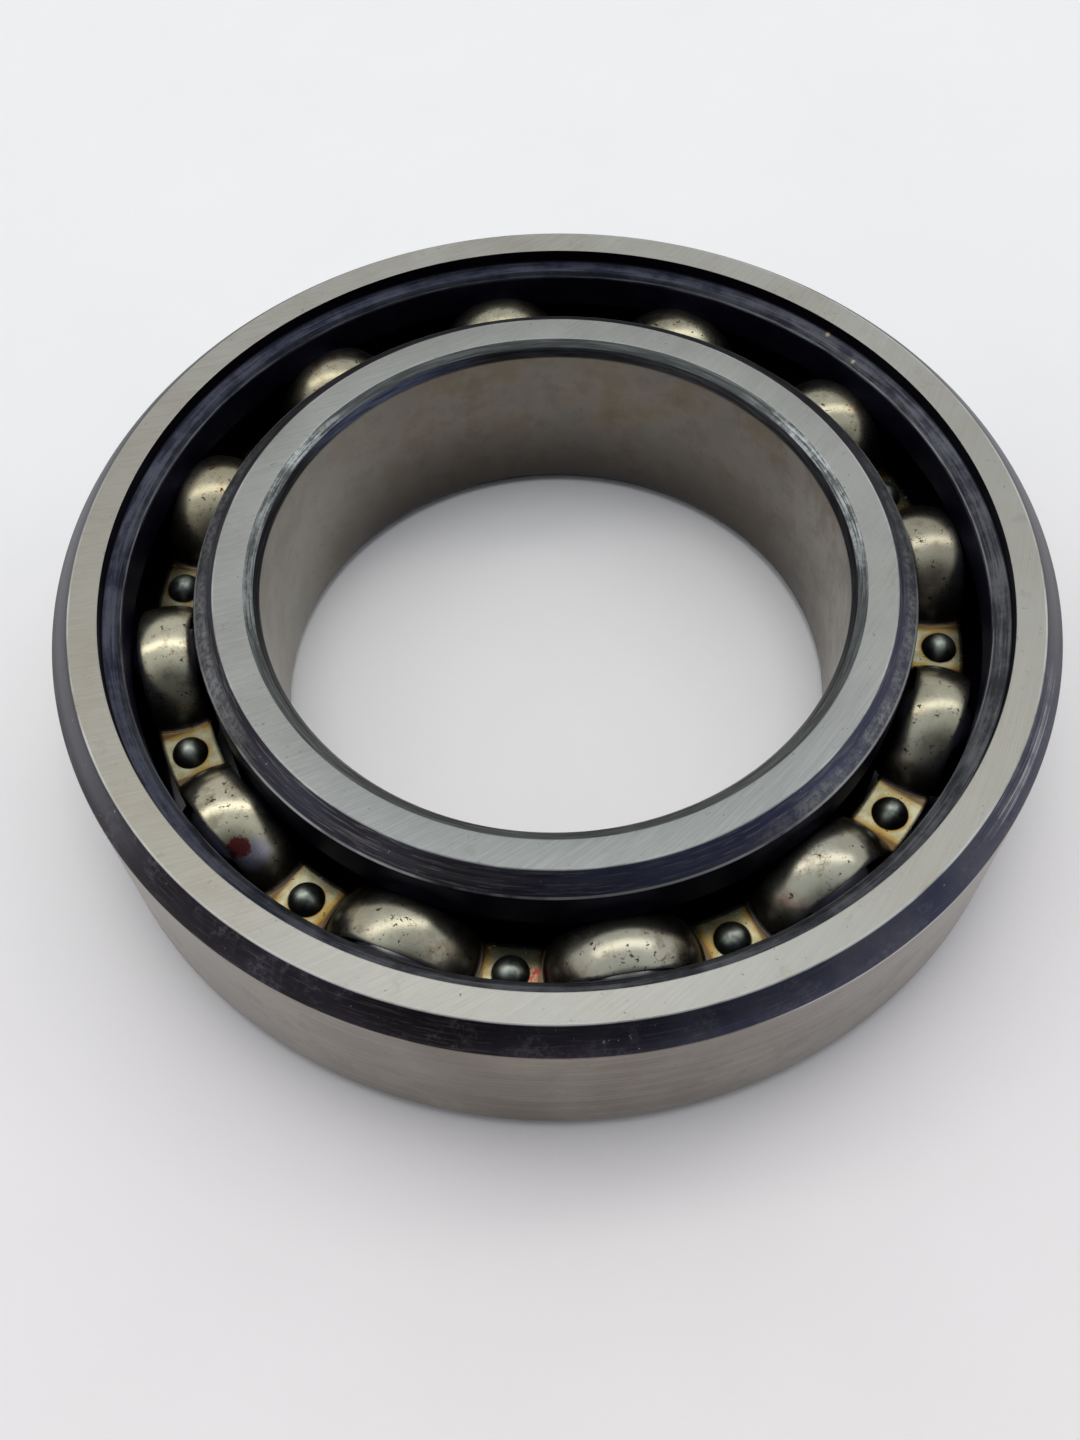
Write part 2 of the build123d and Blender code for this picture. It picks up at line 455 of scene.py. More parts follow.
material, surface, metal, position = start_steel("outer_ring_steel")
radius, angle, z = round_the_axis(metal, position)
depth = HALF_WIDTH - abs(z)
edge_of_side = OUTSIDE - CHAMFER_RADIAL
on_side = 1 - depth.step(0.015 * MM, 0.045 * MM)
on_seat = radius.step(OUTSIDE - 0.05 * MM, OUTSIDE - 0.015 * MM)
in_recess = 1 - radius.step(RECESS + 0.03 * MM, RECESS + 0.08 * MM)
on_ledge = 1 - radius.step(RECESS - 0.10 * MM, RECESS - 0.04 * MM)
inside_ledge = 1 - radius.step(LEDGE_INNER - 0.05 * MM, LEDGE_INNER)
on_lip = inside_ledge * (1 - depth.step(1.58 * MM, 1.66 * MM))
in_groove = (1 - radius.step(31.0 * MM, 31.1 * MM)) * depth.step(1.60 * MM, 1.68 * MM)

clouds = noise(metal, position, 130.0, *CLOUDS)
blots = noise(metal, position, *BLOTS)
grit = noise(metal, position, *GRIT)
marks = wheel_marks(metal, position, FINE_LINES)
lines = turned_lines(metal, angle, radius + depth, FINE_LINES, 2.2 * MM)
long_lines = turned_lines(metal, angle, radius + depth, 2600.0, 0.5 * MM)
recess_lines = turned_lines(metal, angle, radius - depth, FINE_LINES, 1.5 * MM)

SIDE_TONES = ((0.305, 0.286, 0.248), (0.355, 0.350, 0.325))
SIDE_MARK = (0.45, 0.445, 0.42)
SIDE_LEFT_PAINTED_SHADE = (0.250, 0.225, 0.180)
SIDE_FRONT_RIGHT_PAINTED_SHADE = (0.245, 0.246, 0.230)
SIDE_FRONT_PAINTED_LIGHT = (0.470, 0.480, 0.475)
SIDE_BLOT = (0.22, 0.20, 0.16)
SIDE_SPECK = (0.11, 0.09, 0.07)
side = clouds.step(0.3, 0.7).blend(*SIDE_TONES)
side = (marks.step(0.38, 0.64) * 0.42).blend(side, SIDE_MARK)
# Painted light and shade on the flat side face, set by angle round the ring: darker and browner
# on the left, darker at the front right, paler at the front.
side = (facing_to(angle, 185, 20, 60) * 0.40).blend(side, SIDE_LEFT_PAINTED_SHADE)
side = (facing_to(angle, -30, 35, 65) * 0.42).blend(side, SIDE_FRONT_RIGHT_PAINTED_SHADE)
side = (facing_to(angle, -97, 15, 40) * 0.24).blend(side, SIDE_FRONT_PAINTED_LIGHT)
side = (blots.step(0.60, 0.72) * 0.35).blend(side, SIDE_BLOT)
side = (grit.step(0.67, 0.73) * 0.75).blend(side, SIDE_SPECK)

SEAT_TONES = ((0.180, 0.153, 0.124), (0.290, 0.260, 0.218))
SEAT_SIDES_PAINTED_LIGHT = (0.42, 0.40, 0.37)
SEAT_RUB = (0.40, 0.38, 0.36)
SEAT_GROUND = (0.20, 0.175, 0.155)
SEAT_FRONT_RIGHT_PAINTED_LIGHT = (0.41, 0.40, 0.385)
SEAT_SMUDGE = (0.15, 0.115, 0.105)
SEAT_SPECK = (0.10, 0.08, 0.07)
seat = clouds.step(0.3, 0.7).blend(*SEAT_TONES)
# Painted reflection: the outside seat is coloured lighter at the left and right ends and at the
# front right.
seat = (abs(angle.of("COSINE")).step(0.2, 0.85) * 0.6).blend(seat, SEAT_SIDES_PAINTED_LIGHT)
seat = (long_lines.step(0.42, 0.68) * 0.40).blend(seat, SEAT_RUB)
seat = ((1 - lines.step(0.34, 0.50)) * 0.35).blend(seat, SEAT_GROUND)
seat = (facing_to(angle, -40, 20, 50) * 0.35).blend(seat, SEAT_FRONT_RIGHT_PAINTED_LIGHT)
smudge = blots.step(0.48, 0.62) * (0.45 + 0.55 * depth.step(3.0 * MM, 7.0 * MM))
smudge = smudge * clouds.step(0.38, 0.56)
seat = (smudge * 0.30).blend(seat, SEAT_SMUDGE)
seat = (grit.step(0.66, 0.72) * 0.6).blend(seat, SEAT_SPECK)

SCALE_TONES = ((0.020, 0.016, 0.018), (0.040, 0.037, 0.050))
BLUED_TONES = ((0.045, 0.050, 0.090), (0.085, 0.090, 0.120))
SCALE_DARK = (0.014, 0.012, 0.015)
SCALE_PAINTED_LIGHT = (0.165, 0.165, 0.185)
SCALE_LINE = (0.125, 0.110, 0.125)
SCALE_DUST = (0.140, 0.135, 0.155)
RUBBED_BRIGHT = (0.46, 0.46, 0.49)
blue = facing_to(angle, -57, 16, 44)
scale_tone = clouds.step(0.35, 0.65).blend(*SCALE_TONES)
blue_tone = clouds.step(0.35, 0.65).blend(*BLUED_TONES)
skin_tone = (blue * 0.85).blend(scale_tone, blue_tone)
skin_tone = (facing_to(angle, 238, 12, 30) * 0.4).blend(skin_tone, SCALE_DARK)
# Painted light: a lighter band on the chamfer at the left and right sides of the ring.
chamfer_sides_painted_light = abs(angle.of("COSINE")).step(0.80, 1.0)
chamfer_sides_painted_light = chamfer_sides_painted_light * radius.band(32.6 * MM, 33.6 * MM, 0.35 * MM)
skin_tone = (chamfer_sides_painted_light * 0.8).blend(skin_tone, SCALE_PAINTED_LIGHT)
skin_tone = (lines.step(0.52, 0.70) * 0.40).blend(skin_tone, SCALE_LINE)
rubbed = long_lines.step(0.50, 0.62) * facing_to(angle, -36, 5, 14)
rubbed = rubbed * radius.band(32.7 * MM, 33.5 * MM, 0.25 * MM)
rubbed = rubbed * (0.2 + 0.5 * blots.step(0.38, 0.60))
rubbed = rubbed.of("MAXIMUM", grit.step(0.69, 0.74) * 0.6)
dust = blots.step(0.48, 0.64) * grit.step(0.42, 0.62)
skin_tone = (dust * 0.35).blend(skin_tone, SCALE_DUST)
skin_tone = rubbed.blend(skin_tone, RUBBED_BRIGHT)

LEDGE_TONES = ((0.018, 0.020, 0.034), (0.056, 0.058, 0.084))
LEDGE_PAINTED_LIGHT_TONES = ((0.026, 0.026, 0.030), (0.120, 0.122, 0.132))
LEDGE_DUSTY = ((0.040, 0.041, 0.042), (0.120, 0.121, 0.122))
LIP_TONES = ((0.016, 0.017, 0.026), (0.045, 0.047, 0.062))
LIP_PAINTED_LIGHT_TONES = ((0.024, 0.024, 0.027), (0.100, 0.102, 0.108))
LIP_DUSTY = ((0.045, 0.046, 0.047), (0.130, 0.131, 0.132))
OUTER_GROOVE_SHADE_TONES = ((0.018, 0.018, 0.045), (0.030, 0.030, 0.065))
scratchy = (0.5 * blots + 0.5 * recess_lines).step(0.40, 0.60)
# Painted light: the ledge and lip in the recess are coloured lighter on the right and, less so,
# on the left.
painted_light_sides = facing_to(angle, 0, 25, 75).of("MAXIMUM", facing_to(angle, 190, 25, 70) * 0.3)
ledge = scratchy.blend(*LEDGE_TONES)
ledge = (painted_light_sides * 0.5).blend(ledge, scratchy.blend(*LEDGE_PAINTED_LIGHT_TONES))
lip = scratchy.blend(*LIP_TONES)
lip = (painted_light_sides * 0.7).blend(lip, scratchy.blend(*LIP_PAINTED_LIGHT_TONES))
dusty = facing_to(angle, -68, 42, 80) * 0.65
ledge = dusty.blend(ledge, scratchy.blend(*LEDGE_DUSTY))
lip = dusty.blend(lip, scratchy.blend(*LIP_DUSTY))
# Painted shade: the ground ball groove is given near-black navy tones, as if in shadow between
# the balls and the cage.
groove = blots.step(0.4, 0.7).blend(*OUTER_GROOVE_SHADE_TONES)

RECESS_WALL = (0.020, 0.020, 0.032)
BRIGHT_EDGE = (0.60, 0.60, 0.59)
FLECK_TAN = (0.500, 0.360, 0.240)
LIP_PAINTED_HIGHLIGHT = (0.230, 0.240, 0.270)
FLECK_LEFT = (24.04, 18.75, 6.3)
FLECK_RIGHT = (25.26, 15.87, 6.1)
colour = on_side.blend(skin_tone, side)
colour = on_seat.blend(colour, seat)
colour = (in_recess * (1 - on_side)).blend(colour, RECESS_WALL)
colour = (on_ledge * (1 - on_side)).blend(colour, ledge)
colour = on_lip.blend(colour, lip)
colour = in_groove.blend(colour, groove)
worn = near_edge(radius, depth, edge_of_side, 0.0, 0.10 * MM) * clouds.step(0.30, 0.60)
worn = worn * (1 - 0.75 * facing_to(angle, 110, 30, 70))
lower_edge = near_edge(radius, depth, OUTSIDE, CHAMFER_AXIAL, 0.12 * MM)
worn = worn.of("MAXIMUM", lower_edge * long_lines.step(0.48, 0.62))
colour = (worn * 0.8).blend(colour, BRIGHT_EDGE)
fleck = near_place(metal, position, FLECK_LEFT, 0.06 * MM, 0.28 * MM)
other_fleck = near_place(metal, position, FLECK_RIGHT, 0.04 * MM, 0.24 * MM)
fleck = fleck.of("MAXIMUM", other_fleck)
colour = fleck.blend(colour, FLECK_TAN)
(1 - 0.85 * fleck).link(surface, "Metallic")
# Painted highlight along the lip edge, partly bright worn metal, stronger where the recess is
# painted lighter.
lip_painted_highlight = near_edge(radius, depth, OUTER_SHOULDER, SHOULDER_DEPTH, 0.20 * MM)
lip_painted_highlight = lip_painted_highlight * recess_lines.step(0.35, 0.60)
colour = (lip_painted_highlight * (0.35 + 0.55 * painted_light_sides)).blend(colour, LIP_PAINTED_HIGHLIGHT)
colour.link(surface, "Base Color")
(0.36 + 0.10 * clouds + 0.05 * grit + 0.12 * in_groove).link(surface, "Roughness")
height = on_side.blend(lines.blend(*BLACK_AND_WHITE), marks.blend(*BLACK_AND_WHITE))
relief(metal, surface, height, GRINDING_DEPTH)
outer_ring.data.materials.append(material)
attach(outer_ring, "outer_ring")
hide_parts("outer_ring")

# ---------------------------------------------------------------------------------------------
# Inner ring: the same steel, bored and ground. Its sides are narrow bright bands, and a turned
# cone, left dark, falls from each side to the shoulder beside the ball groove.
# ---------------------------------------------------------------------------------------------
BORE = frame["record"]["mounts"][0]["dims"]["r_mm"] * MM
BORE_CHAMFER = 1.0 * MM
BORE_KNEE = 0.35 * MM
INNER_FACE = 23.0 * MM
CONE_END = 24.4 * MM
CONE_DEPTH = 1.0 * MM
INNER_SHOULDER = 24.5 * MM
INNER_SHOULDER_TOP = HALF_WIDTH - 1.1 * MM

inner_outline = both_sides(
    groove_arc(PITCH - BALL - GROOVE_GAP, INNER_SHOULDER, False)[::-1]
    + [
        (INNER_SHOULDER, INNER_SHOULDER_TOP),
        (CONE_END, HALF_WIDTH - CONE_DEPTH),
        (INNER_FACE, HALF_WIDTH),
        (BORE + BORE_CHAMFER, HALF_WIDTH),
        (BORE + BORE_KNEE, HALF_WIDTH - BORE_KNEE),
        (BORE, HALF_WIDTH - BORE_CHAMFER),
    ]
)
inner_ring = lathe("inner_ring_body", inner_outline)
break_edges(inner_ring, EDGE, EDGE_TURN)

material, surface, metal, position = start_steel("inner_ring_steel")
radius, angle, z = round_the_axis(metal, position)
depth = HALF_WIDTH - abs(z)
on_side = 1 - depth.step(0.015 * MM, 0.045 * MM)
in_bore = 1 - radius.step(BORE + 0.01 * MM, BORE + 0.05 * MM)
on_knee = radius.step(BORE + 0.01 * MM, BORE + 0.05 * MM)
on_knee = on_knee * (1 - radius.step(20.33 * MM, 20.37 * MM))
on_chamfer = radius.step(20.33 * MM, 20.37 * MM) * (1 - radius.step(20.97 * MM, 21.0 * MM))
in_groove = radius.step(21.5 * MM, 21.6 * MM) * depth.step(1.06 * MM, 1.16 * MM)

clouds = noise(metal, position, 150.0, *CLOUDS)
blots = noise(metal, position, *BLOTS)
grit = noise(metal, position, *GRIT)
marks = wheel_marks(metal, position, 5600.0)
lines = turned_lines(metal, angle, radius + depth, FINE_LINES, 1.6 * MM)
long_lines = turned_lines(metal, angle, radius + depth, 3200.0, 0.35 * MM)
chamfer_lines = turned_lines(metal, angle, radius - depth, FINE_LINES, 1.2 * MM)

FACE_TONES = ((0.235, 0.236, 0.226), (0.285, 0.286, 0.276))
FACE_FRONT_PAINTED_SHADE = (0.210, 0.228, 0.236)
FACE_MARK = (0.36, 0.365, 0.36)
FACE_BLOT = (0.18, 0.17, 0.14)
FACE_SPECK = (0.13, 0.12, 0.11)
side = clouds.step(0.3, 0.7).blend(*FACE_TONES)
# Painted shade: the side face is coloured cooler and darker at the front.
side = (facing_to(angle, -90, 30, 75) * 0.6).blend(side, FACE_FRONT_PAINTED_SHADE)
side = (marks.step(0.40, 0.64) * 0.38).blend(side, FACE_MARK)
side = (blots.step(0.62, 0.74) * 0.30).blend(side, FACE_BLOT)
side = (grit.step(0.655, 0.72) * 0.7).blend(side, FACE_SPECK)

BORE_TONES = ((0.285, 0.262, 0.222), (0.385, 0.362, 0.318))
BORE_RUB = (0.33, 0.31, 0.27)
BORE_BACK_PAINTED_SHADE = (0.150, 0.128, 0.106)
BORE_STAIN = (0.165, 0.128, 0.075)
BORE_GREY = (0.140, 0.145, 0.155)
BORE_BROWN = (0.110, 0.080, 0.055)
BORE_LEFT_PAINTED_LIGHT = (0.390, 0.370, 0.325)
BORE_LOW_PAINTED_SHADE = (0.052, 0.045, 0.042)
BORE_SPECK = (0.08, 0.06, 0.05)
BORE_BOTTOM = -7.6 * MM
BORE_MIDDLE = 3.0 * MM
stains = noise(metal, position, 190.0, 5.0, 0.65)
bore = clouds.step(0.3, 0.7).blend(*BORE_TONES)
bore = (long_lines.step(0.40, 0.66) * 0.25).blend(bore, BORE_RUB)
# Painted shade: the bore is coloured darker at the back.
bore = (facing_to(angle, 78, 30, 85) * 0.72).blend(bore, BORE_BACK_PAINTED_SHADE)
bore = (stains.step(0.48, 0.62) * 0.45).blend(bore, BORE_STAIN)
bore = ((1 - stains.step(0.36, 0.48)) * 0.35).blend(bore, BORE_GREY)
bore = (blots.step(0.50, 0.66) * 0.25).blend(bore, BORE_BROWN)
# Painted light: the bore is coloured paler on the left.
bore = (facing_to(angle, 190, 30, 80) * 0.55).blend(bore, BORE_LEFT_PAINTED_LIGHT)
# Painted shade: the lower part of the bore at the back is coloured near black.
low = (1 - z.step(BORE_BOTTOM, BORE_MIDDLE)) * facing_to(angle, 70, 45, 95)
bore = (low * 0.80).blend(bore, BORE_LOW_PAINTED_SHADE)
bore = (grit.step(0.66, 0.72) * 0.6).blend(bore, BORE_SPECK)

CONE_TONES = ((0.034, 0.030, 0.038), (0.052, 0.054, 0.078))
CONE_BLUES = ((0.034, 0.038, 0.095), (0.062, 0.070, 0.140))
CONE_RUB = (0.095, 0.090, 0.098)
CONE_LINE = (0.210, 0.195, 0.190)
CONE_PAINTED_LIGHT = (0.300, 0.310, 0.315)
CONE_SPECK = (0.45, 0.45, 0.46)
cone = clouds.step(0.35, 0.65).blend(*CONE_TONES)
blue = facing_to(angle, -55, 25, 60)
cone = (blue * 0.8).blend(cone, clouds.step(0.35, 0.65).blend(*CONE_BLUES))
cone = (long_lines.step(0.44, 0.60) * 0.50).blend(cone, CONE_RUB)
cone = (lines.step(0.52, 0.66) * 0.50).blend(cone, CONE_LINE)
# Painted light: the cone is coloured lighter near its outer edge on the left and right.
cone_painted_light = facing_to(angle, 172, 14, 40).of("MAXIMUM", facing_to(angle, -22, 22, 52) * 0.8)
cone_painted_light = cone_painted_light * (0.35 + 0.65 * blots.step(0.38, 0.58)) * (0.4 + 0.6 * grit.step(0.40, 0.60))
cone = (cone_painted_light * radius.step(23.3 * MM, 23.9 * MM)).blend(cone, CONE_PAINTED_LIGHT)
cone = (grit.step(0.70, 0.74) * 0.7).blend(cone, CONE_SPECK)

KNEE_TONES = ((0.026, 0.026, 0.030), (0.070, 0.072, 0.080))
KNEE_BLUES = ((0.040, 0.048, 0.095), (0.130, 0.145, 0.230))
BEVEL_TONES = ((0.058, 0.062, 0.062), (0.135, 0.142, 0.142))
BEVEL_RUB = (0.37, 0.395, 0.41)
INNER_GROOVE_SHADE_TONES = ((0.014, 0.014, 0.036), (0.026, 0.026, 0.055))
blued = facing_to(angle, 119, 9, 26)
knee = chamfer_lines.step(0.35, 0.7).blend(*KNEE_TONES)
knee = (blued * 0.9).blend(knee, chamfer_lines.step(0.35, 0.65).blend(*KNEE_BLUES))
bevel = chamfer_lines.step(0.35, 0.7).blend(*BEVEL_TONES)
left_rub = facing_to(angle, 143, 5, 16).of("MAXIMUM", facing_to(angle, 165, 10, 30) * 0.5)
streaked = left_rub.of("MAXIMUM", facing_to(angle, 10, 14, 30))
streaked = streaked * (0.7 * chamfer_lines + 0.3 * grit).step(0.42, 0.60)
streaked = streaked * blots.step(0.30, 0.58)
bevel = streaked.blend(bevel, BEVEL_RUB)
# Painted shade: the ground ball groove is given near-black navy tones, as if in shadow between
# the balls and the cage.
groove = blots.step(0.4, 0.7).blend(*INNER_GROOVE_SHADE_TONES)

WORN_EDGE = (0.52, 0.52, 0.51)
colour = on_side.blend(cone, side)
colour = on_chamfer.blend(colour, bevel)
colour = on_knee.blend(colour, knee)
colour = in_bore.blend(colour, bore)
colour = in_groove.blend(colour, groove)
worn = near_edge(radius, depth, CONE_END, CONE_DEPTH, 0.12 * MM) * clouds.step(0.30, 0.55)
face_edge = near_edge(radius, depth, INNER_FACE, 0.0, 0.10 * MM) * clouds.step(0.40, 0.65)
worn = worn.of("MAXIMUM", face_edge)
colour = (worn * 0.75).blend(colour, WORN_EDGE)
colour.link(surface, "Base Color")
(0.34 + 0.10 * clouds + 0.05 * grit + 0.14 * in_groove).link(surface, "Roughness")
height = on_side.blend(lines.blend(*BLACK_AND_WHITE), marks.blend(*BLACK_AND_WHITE))
relief(metal, surface, height, GRINDING_DEPTH)
inner_ring.data.materials.append(material)
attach(inner_ring, "inner_ring")
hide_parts("inner_ring")

# ---------------------------------------------------------------------------------------------
# Cage: two ribbons of sheet steel, each pressed into twelve round pockets over the balls. They
# meet back to back on the lands between the pockets, where the rivets go through.
# ---------------------------------------------------------------------------------------------
BALLS = sum(name.startswith("ball_") for name in frame["nodes"])
STEP = 2 * math.pi / BALLS
SHEET = 0.9 * MM
STRIP_INNER = 25.1 * MM
STRIP_OUTER = 28.65 * MM
STRIP_ROWS = 12
STRIP_STEPS = 2160
POCKET_GAP = 0.15 * MM
POCKET_POINTS = 60
BEND = 0.4 * MM
BEND_POINTS = 10
DIE_REACH = 7.7 * MM
DIE_STEPS = 360
DIE_TURN = math.radians(0.37)
HOLE = 0.73 * MM
HOLE_STEPS = 32
SHEET_EDGE = 0.09 * MM
SHEET_EDGE_TURN = math.radians(50)


def copy_of(piece, name, matrix):
    """A copy with its own mesh, put in its place by moving the mesh."""
    twin = piece.copy()
    twin.data = piece.data.copy()
    twin.name = name
    bpy.context.scene.collection.objects.link(twin)
    twin.data.transform(matrix)
    return twin


def join(pieces):
    """Joins pieces into the first one."""
    bpy.ops.object.select_all(action="DESELECT")
    for piece in pieces:
        piece.select_set(True)
    bpy.context.view_layer.objects.active = pieces[0]
    bpy.ops.object.join()
    return pieces[0]


def at_angle(turn):
    """Moves a piece from the axis out to the pitch circle at an angle."""
    return Matrix.Rotation(turn, 4, "Z") @ Matrix.Translation((PITCH, 0, 0))


def turn_outwards(piece):
    """Makes all faces of a piece agree about which side is out."""
    edit(piece)
    bpy.ops.mesh.select_all(action="SELECT")
    bpy.ops.mesh.normals_make_consistent(inside=False)
    bpy.ops.object.mode_set(mode="OBJECT")


pocket_outside = BALL + POCKET_GAP + SHEET
bend_height = SHEET + BEND
bend_reach = math.sqrt((pocket_outside + BEND) ** 2 - bend_height**2)
foot_angle = math.degrees(math.atan2(bend_height, bend_reach))
die_outline = (
    arc((0, 0), pocket_outside, 90, foot_angle, POCKET_POINTS)
    + arc((bend_reach, bend_height), BEND, foot_angle + 180, 270, BEND_POINTS)[1:]
    + [(DIE_REACH, SHEET)]
)
die = lathe("pocket_die", die_outline, DIE_STEPS, closed=False)
die.data.transform(Matrix.Rotation(DIE_TURN, 4, "Z"))
dies = [copy_of(die, "pocket_die", at_angle(i * STEP)) for i in range(BALLS)]
bpy.data.objects.remove(die)
die = join(dies)

rows = [
    (STRIP_INNER + (STRIP_OUTER - STRIP_INNER) * i / STRIP_ROWS, -SHEET)
    for i in range(STRIP_ROWS + 1)
]
cage_upper = lathe("cage_upper_ribbon", rows, STRIP_STEPS, closed=False)
apply_modifier(
    cage_upper,
    "SHRINKWRAP",
    target=die,
    wrap_method="PROJECT",
    use_project_z=True,
    use_positive_direction=True,
    use_negative_direction=False,
)
bpy.data.objects.remove(die)
turn_outwards(cage_upper)
if sum(face.normal.z for face in cage_upper.data.polygons) < 0:
    edit(cage_upper)
    bpy.ops.mesh.select_all(action="SELECT")
    bpy.ops.mesh.flip_normals()
    bpy.ops.object.mode_set(mode="OBJECT")
apply_modifier(cage_upper, "SOLIDIFY", thickness=SHEET, offset=-1.0, use_even_offset=True)
pin_outline = [(0, -2 * SHEET), (HOLE, -2 * SHEET), (HOLE, 2 * SHEET), (0, 2 * SHEET)]
pins = []
for i in range(BALLS):
    pin = lathe("pin", pin_outline, HOLE_STEPS, closed=False)
    pin.data.transform(at_angle((i + 0.5) * STEP))
    pins.append(pin)
punch = join(pins)
apply_modifier(cage_upper, "BOOLEAN", object=punch, operation="DIFFERENCE", solver="EXACT")
bpy.data.objects.remove(punch)
break_edges(cage_upper, SHEET_EDGE, SHEET_EDGE_TURN)
cage_lower = copy_of(cage_upper, "cage_lower_ribbon", Matrix.Scale(-1, 4, (0, 0, 1)))
turn_outwards(cage_lower)

material, surface, metal, position = start_steel("cage_steel")
radius, angle, z = round_the_axis(metal, position)
local = (angle + 2 * math.pi).of("MODULO", STEP) - STEP / 2
along = radius * local.of("SINE")
across = radius * local.of("COSINE") - PITCH
from_rivet = (along * along + across * across) ** 0.5
rise = abs(z)
on_land = 1 - rise.step(SHEET + 0.01 * MM, SHEET + 0.06 * MM)
away = facing_to(angle, 90, 45, 95)
# Painted shade with dirt: the crowns darken to near black towards the lands, further up and at
# the outer edge on the far side.
foot_dirt_and_shade = 1 - rise.step(1.2 * MM, 4.4 * MM)
foot_dirt_and_shade = foot_dirt_and_shade.of("MAXIMUM", away * (1 - rise.step(2.8 * MM, 4.6 * MM)))
foot_dirt_and_shade = foot_dirt_and_shade.of("MAXIMUM", away * radius.step(27.2 * MM, 28.1 * MM)) * (1 - on_land)

clouds = noise(metal, position, 330.0, 4.0, 0.6)
blots = noise(metal, position, 700.0, 5.0, 0.65)
grit = noise(metal, position, 2300.0, 3.0, 0.7)
inputs = {"Vector": position, "Scale": 1500.0}
settings = {"feature": "DISTANCE_TO_EDGE"}
crazing = metal.node("ShaderNodeTexVoronoi", settings, inputs, "Distance")
cracked = (1 - crazing.step(0.010, 0.035)) * clouds.step(0.60, 0.68) * blots.step(0.40, 0.50)

STEEL_TONES = ((0.290, 0.268, 0.190), (0.425, 0.402, 0.305))
STEEL_FRONT_PAINTED_LIGHT = (0.400, 0.396, 0.345)
STEEL_BACK_LEFT_PAINTED_SHADE = (0.330, 0.285, 0.180)
STEEL_RIGHT_PAINTED_SHADE = (0.250, 0.225, 0.180)
STEEL_LEFT_PAINTED_LIGHT = (0.560, 0.530, 0.400)
STEEL_BLOT = (0.205, 0.165, 0.105)
STEEL_FLANK_STAIN_AND_SHADE = (0.200, 0.125, 0.105)
STEEL_RUST = (0.240, 0.100, 0.055)
STEEL_FOOT_DIRT_AND_SHADE = (0.040, 0.033, 0.037)
STEEL_CRACK = (0.085, 0.060, 0.040)
STEEL_SPECK = (0.040, 0.028, 0.022)
steel = clouds.step(0.33, 0.68).blend(*STEEL_TONES)
# Painted light and shade by angle round the cage: lighter at the front and left, darker at the
# back left and right.
steel = (facing_to(angle, -75, 25, 55) * 0.5).blend(steel, STEEL_FRONT_PAINTED_LIGHT)
steel = (facing_to(angle, 145, 12, 32) * 0.5).blend(steel, STEEL_BACK_LEFT_PAINTED_SHADE)
steel = (facing_to(angle, 0, 8, 24) * 0.5).blend(steel, STEEL_RIGHT_PAINTED_SHADE)
steel = (facing_to(angle, 200, 20, 32) * 0.6).blend(steel, STEEL_LEFT_PAINTED_LIGHT)
steel = (blots.step(0.50, 0.66) * 0.60).blend(steel, STEEL_BLOT)
# Brown stain with painted shade: the lower crown flanks are coloured darker reddish brown in
# patches.
flank_stain_and_shade = (1 - clouds.step(0.36, 0.52)) * (1 - rise.step(2.6 * MM, 4.9 * MM))
steel = (flank_stain_and_shade * 0.75).blend(steel, STEEL_FLANK_STAIN_AND_SHADE)
rusty = noise(metal, position, 390.0, 4.0, 0.7).step(0.60, 0.70)
steel = (rusty * 0.55).blend(steel, STEEL_RUST)
steel = (foot_dirt_and_shade * (0.66 + 0.4 * blots)).blend(steel, STEEL_FOOT_DIRT_AND_SHADE)
steel = (cracked * 0.7).blend(steel, STEEL_CRACK)
steel = (grit.step(0.610, 0.67) * 0.9).blend(steel, STEEL_SPECK)

LAND_TONES = ((0.165, 0.152, 0.088), (0.265, 0.256, 0.178))
LAND_VARNISH = (0.185, 0.115, 0.026)
LAND_FOLD_SHADE_AND_VARNISH = (0.060, 0.038, 0.022)
LAND_HOLE = (0.060, 0.035, 0.018)
land = blots.step(0.35, 0.65).blend(*LAND_TONES)
varnish = abs(along).step(1.15 * MM, 1.65 * MM) * (0.35 + 1.1 * clouds.step(0.35, 0.65))
ring_varnish = (1 - from_rivet.step(1.22 * MM, 1.60 * MM)) * clouds.step(0.44, 0.58)
land = (0.9 * varnish.of("MAXIMUM", ring_varnish)).blend(land, LAND_VARNISH)
# Varnish with painted shade: a dark line at each end of the land, in the fold up to the crown.
land = (abs(along).step(1.55 * MM, 1.80 * MM) * 0.9).blend(land, LAND_FOLD_SHADE_AND_VARNISH)
land = ((1 - from_rivet.step(1.18 * MM, 1.30 * MM)) * 0.8).blend(land, LAND_HOLE)

RED_SPOT_PLACE = (-22.68, -16.3, 4.1)
BLUE_SHEEN_PLACE = (-21.7, -16.7, 3.4)
RED_FLECKS_PLACE = (-5.75, -26.4, 1.0)
RED_SPOT = (0.200, 0.014, 0.022)
BLUE_SHEEN = (0.400, 0.400, 0.530)
RED_FLECKS = (0.250, 0.015, 0.030)
red_spot = near_place(metal, position, RED_SPOT_PLACE, 0.28 * MM, 1.02 * MM)
blue_sheen = near_place(metal, position, BLUE_SHEEN_PLACE, 0.40 * MM, 1.5 * MM)
ragged = noise(metal, position, 1500.0, 4.0, 0.7)
steel = (blue_sheen * (0.4 + 0.6 * blots.step(0.35, 0.55))).blend(steel, BLUE_SHEEN)
ragged_spot = (red_spot + 2.4 * (ragged - 0.5)).step(0.25, 0.60)
steel = (ragged_spot * 0.90).blend(steel, RED_SPOT)
flecks = near_place(metal, position, RED_FLECKS_PLACE, 0.35 * MM, 0.85 * MM)
flecks = flecks * ragged.step(0.44, 0.54)
land = (flecks * 0.9).blend(land, RED_FLECKS)
